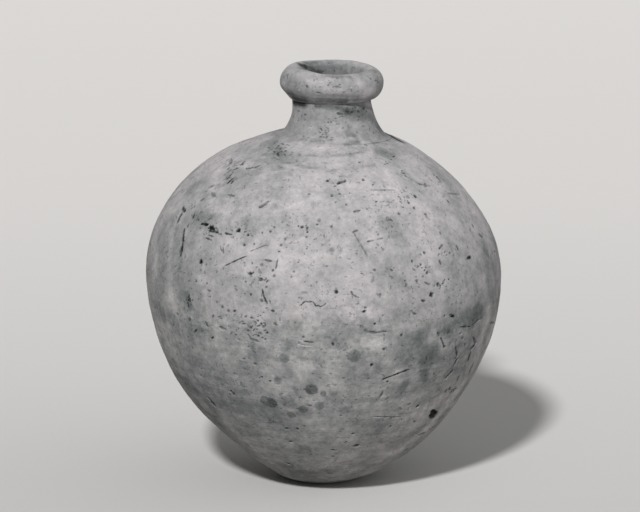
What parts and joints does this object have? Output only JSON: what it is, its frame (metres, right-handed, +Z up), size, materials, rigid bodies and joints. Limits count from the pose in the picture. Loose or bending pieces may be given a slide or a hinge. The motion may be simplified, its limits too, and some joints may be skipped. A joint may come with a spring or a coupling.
{
  "type": "aryballos flask",
  "caption": "Globular oil flask of fired clay with a small flat foot, a short flaring neck set a little off its axis and a thick rolled rim round an open mouth.",
  "frame": {"origin": "centre of the flat foot, on the body's upright axis", "axes": "+Z up along the body's axis, +X towards the side that the neck leans to, -Y towards the picture's viewer"},
  "size_m": [0.1, 0.1, 0.1181],
  "materials": {
    "fired_clay": "unglazed, matt, pitted and scratched",
    "luting_slip": "unglazed, matt, fine-grained"
  },
  "bodies": {
    "root": {"lower_body": "fired_clay", "upper_body": "fired_clay", "neck": "fired_clay", "rim": "fired_clay", "body_seam_slip": "luting_slip", "neck_seam_slip": "luting_slip", "rim_seam_slip": "luting_slip"}
  },
  "joints": []
}
